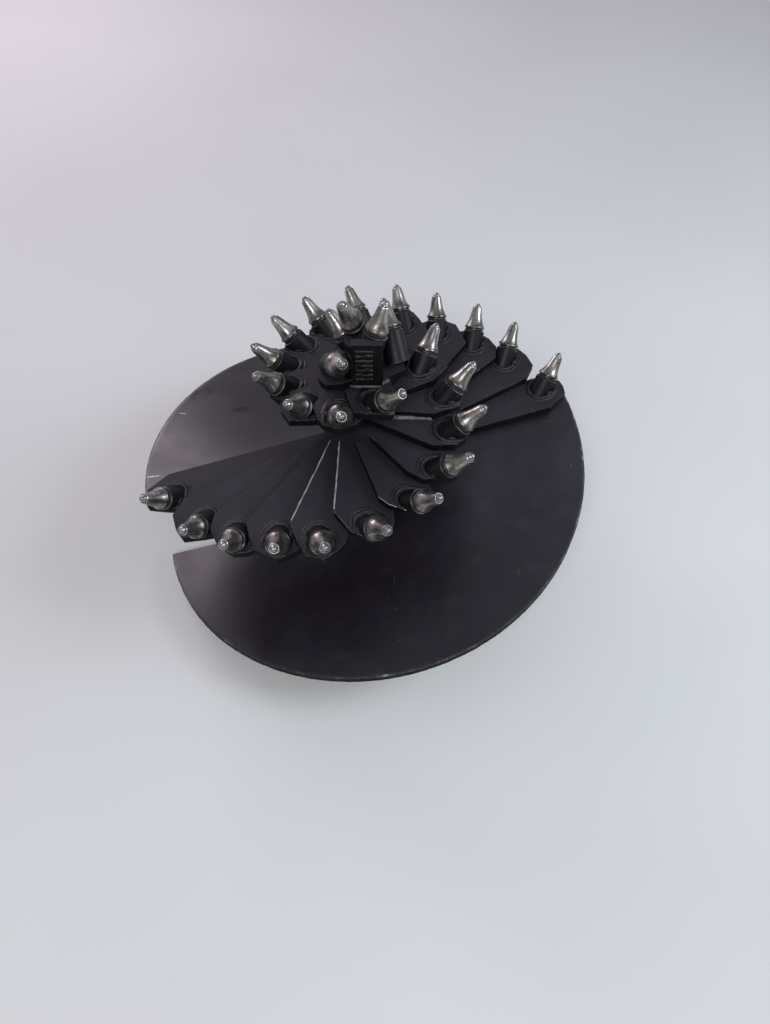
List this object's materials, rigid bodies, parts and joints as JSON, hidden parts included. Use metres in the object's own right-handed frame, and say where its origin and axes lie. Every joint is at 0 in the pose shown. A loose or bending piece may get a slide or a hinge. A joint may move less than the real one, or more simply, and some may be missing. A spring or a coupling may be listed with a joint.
{
  "type": "rock auger",
  "caption": "Two-start rock auger standing on its drive end, with turning bullet picks in welded holders on a stepped bullet nose over two flights.",
  "frame": {"origin": "on the axis of turning, at the drive end's face, which stands on the floor", "axes": "+Z along the axis of turning, from the drive end to the pilot; +Y along the drive pin; +X across it"},
  "size_m": [0.8, 0.8, 0.5496],
  "materials": {
    "black_paint": "satin black paint over cut plate",
    "pick_steel": "bare forged steel with a carbide button"
  },
  "bodies": {
    "auger": {"holders_a": "black_paint", "holders_b": "black_paint", "holders_pilot": "black_paint", "step_01": "black_paint", "step_02": "black_paint", "step_03": "black_paint", "step_04": "black_paint", "step_05": "black_paint", "step_06": "black_paint", "step_07": "black_paint", "step_08": "black_paint", "step_09": "black_paint", "step_10": "black_paint", "step_11": "black_paint", "step_12": "black_paint", "step_13": "black_paint", "step_14": "black_paint", "flight_a": "black_paint", "flight_b": "black_paint", "centre_pipe": "black_paint", "socket_end": "black_paint", "drive_socket": "black_paint", "cap_plate": "black_paint", "pilot_bar": "black_paint"},
    "pick_a01": {"pick_a01": "pick_steel"},
    "pick_a02": {"pick_a02": "pick_steel"},
    "pick_a03": {"pick_a03": "pick_steel"},
    "pick_a04": {"pick_a04": "pick_steel"},
    "pick_a05": {"pick_a05": "pick_steel"},
    "pick_a06": {"pick_a06": "pick_steel"},
    "pick_a07": {"pick_a07": "pick_steel"},
    "pick_a08": {"pick_a08": "pick_steel"},
    "pick_a09": {"pick_a09": "pick_steel"},
    "pick_a10": {"pick_a10": "pick_steel"},
    "pick_a11": {"pick_a11": "pick_steel"},
    "pick_a12": {"pick_a12": "pick_steel"},
    "pick_a13": {"pick_a13": "pick_steel"},
    "pick_a14": {"pick_a14": "pick_steel"},
    "pick_pilot_a": {"pick_pilot_a": "pick_steel"},
    "pick_b01": {"pick_b01": "pick_steel"},
    "pick_b02": {"pick_b02": "pick_steel"},
    "pick_b03": {"pick_b03": "pick_steel"},
    "pick_b04": {"pick_b04": "pick_steel"},
    "pick_b05": {"pick_b05": "pick_steel"},
    "pick_b06": {"pick_b06": "pick_steel"},
    "pick_b07": {"pick_b07": "pick_steel"},
    "pick_b08": {"pick_b08": "pick_steel"},
    "pick_b09": {"pick_b09": "pick_steel"},
    "pick_b10": {"pick_b10": "pick_steel"},
    "pick_b11": {"pick_b11": "pick_steel"},
    "pick_b12": {"pick_b12": "pick_steel"},
    "pick_b13": {"pick_b13": "pick_steel"},
    "pick_b14": {"pick_b14": "pick_steel"},
    "pick_pilot_b": {"pick_pilot_b": "pick_steel"}
  },
  "joints": [
    {"name": "pick_a01_turn", "type": "hinge", "parent": "auger", "child": "pick_a01", "pos_m": [0.34335, 0.14574, 0.26], "axis": [0.4175, 0.5403, 0.7306], "continuous": true},
    {"name": "pick_a02_turn", "type": "hinge", "parent": "auger", "child": "pick_a02", "pos_m": [0.27186, 0.2124, 0.2738], "axis": [0.2634, 0.63, 0.7306], "continuous": true},
    {"name": "pick_a03_turn", "type": "hinge", "parent": "auger", "child": "pick_a03", "pos_m": [0.20698, 0.24667, 0.2876], "axis": [0.1267, 0.671, 0.7306], "continuous": true},
    {"name": "pick_a04_turn", "type": "hinge", "parent": "auger", "child": "pick_a04", "pos_m": [0.13302, 0.26106, 0.3014], "axis": [-0.0275, 0.6823, 0.7306], "continuous": true},
    {"name": "pick_a05_turn", "type": "hinge", "parent": "auger", "child": "pick_a05", "pos_m": [0.06209, 0.26893, 0.3152], "axis": [-0.1917, 0.6554, 0.7306], "continuous": true},
    {"name": "pick_a06_turn", "type": "hinge", "parent": "auger", "child": "pick_a06", "pos_m": [-0.02196, 0.25104, 0.329], "axis": [-0.3849, 0.5641, 0.7306], "continuous": true},
    {"name": "pick_a07_turn", "type": "hinge", "parent": "auger", "child": "pick_a07", "pos_m": [-0.09274, 0.20829, 0.3428], "axis": [-0.5475, 0.408, 0.7306], "continuous": true},
    {"name": "pick_a08_turn", "type": "hinge", "parent": "auger", "child": "pick_a08", "pos_m": [-0.13845, 0.14847, 0.3566], "axis": [-0.6506, 0.2075, 0.7306], "continuous": true},
    {"name": "pick_a09_turn", "type": "hinge", "parent": "auger", "child": "pick_a09", "pos_m": [-0.1617, 0.07199, 0.3704], "axis": [-0.6799, -0.0632, 0.7306], "continuous": true},
    {"name": "pick_a10_turn", "type": "hinge", "parent": "auger", "child": "pick_a10", "pos_m": [-0.152, 0, 0.3842], "axis": [-0.5955, -0.3343, 0.7306], "continuous": true},
    {"name": "pick_a11_turn", "type": "hinge", "parent": "auger", "child": "pick_a11", "pos_m": [-0.10431, -0.06518, 0.398], "axis": [-0.3278, -0.599, 0.7306], "continuous": true},
    {"name": "pick_a12_turn", "type": "hinge", "parent": "auger", "child": "pick_a12", "pos_m": [-0.03625, -0.09961, 0.4118], "axis": [0.1104, -0.6739, 0.7306], "continuous": true},
    {"name": "pick_a13_turn", "type": "hinge", "parent": "auger", "child": "pick_a13", "pos_m": [0.03726, -0.0764, 0.4256], "axis": [0.5615, -0.3887, 0.7306], "continuous": true},
    {"name": "pick_a14_turn", "type": "hinge", "parent": "auger", "child": "pick_a14", "pos_m": [0.03918, 0.04276, 0.4664], "axis": [-0.2361, 0.6923, 0.6819], "continuous": true},
    {"name": "pick_pilot_a_turn", "type": "hinge", "parent": "auger", "child": "pick_pilot_a", "pos_m": [-0.02005, 0.01022, 0.508], "axis": [-0.312, -0.2583, 0.9143], "continuous": true},
    {"name": "pick_b01_turn", "type": "hinge", "parent": "auger", "child": "pick_b01", "pos_m": [-0.34335, -0.14574, 0.26], "axis": [-0.4175, -0.5403, 0.7306], "continuous": true},
    {"name": "pick_b02_turn", "type": "hinge", "parent": "auger", "child": "pick_b02", "pos_m": [-0.27186, -0.2124, 0.2738], "axis": [-0.2634, -0.63, 0.7306], "continuous": true},
    {"name": "pick_b03_turn", "type": "hinge", "parent": "auger", "child": "pick_b03", "pos_m": [-0.20698, -0.24667, 0.2876], "axis": [-0.1267, -0.671, 0.7306], "continuous": true},
    {"name": "pick_b04_turn", "type": "hinge", "parent": "auger", "child": "pick_b04", "pos_m": [-0.13302, -0.26106, 0.3014], "axis": [0.0275, -0.6823, 0.7306], "continuous": true},
    {"name": "pick_b05_turn", "type": "hinge", "parent": "auger", "child": "pick_b05", "pos_m": [-0.06209, -0.26893, 0.3152], "axis": [0.1917, -0.6554, 0.7306], "continuous": true},
    {"name": "pick_b06_turn", "type": "hinge", "parent": "auger", "child": "pick_b06", "pos_m": [0.02196, -0.25104, 0.329], "axis": [0.3849, -0.5641, 0.7306], "continuous": true},
    {"name": "pick_b07_turn", "type": "hinge", "parent": "auger", "child": "pick_b07", "pos_m": [0.09274, -0.20829, 0.3428], "axis": [0.5475, -0.408, 0.7306], "continuous": true},
    {"name": "pick_b08_turn", "type": "hinge", "parent": "auger", "child": "pick_b08", "pos_m": [0.13845, -0.14847, 0.3566], "axis": [0.6506, -0.2075, 0.7306], "continuous": true},
    {"name": "pick_b09_turn", "type": "hinge", "parent": "auger", "child": "pick_b09", "pos_m": [0.1617, -0.07199, 0.3704], "axis": [0.6799, 0.0632, 0.7306], "continuous": true},
    {"name": "pick_b10_turn", "type": "hinge", "parent": "auger", "child": "pick_b10", "pos_m": [0.152, 0, 0.3842], "axis": [0.5955, 0.3343, 0.7306], "continuous": true},
    {"name": "pick_b11_turn", "type": "hinge", "parent": "auger", "child": "pick_b11", "pos_m": [0.10431, 0.06518, 0.398], "axis": [0.3278, 0.599, 0.7306], "continuous": true},
    {"name": "pick_b12_turn", "type": "hinge", "parent": "auger", "child": "pick_b12", "pos_m": [0.03625, 0.09961, 0.4118], "axis": [-0.1104, 0.6739, 0.7306], "continuous": true},
    {"name": "pick_b13_turn", "type": "hinge", "parent": "auger", "child": "pick_b13", "pos_m": [-0.03726, 0.0764, 0.4256], "axis": [-0.5615, 0.3887, 0.7306], "continuous": true},
    {"name": "pick_b14_turn", "type": "hinge", "parent": "auger", "child": "pick_b14", "pos_m": [-0.03918, -0.04276, 0.4664], "axis": [0.2361, -0.6923, 0.6819], "continuous": true},
    {"name": "pick_pilot_b_turn", "type": "hinge", "parent": "auger", "child": "pick_pilot_b", "pos_m": [0.02005, -0.01022, 0.508], "axis": [0.312, 0.2583, 0.9143], "continuous": true}
  ]
}
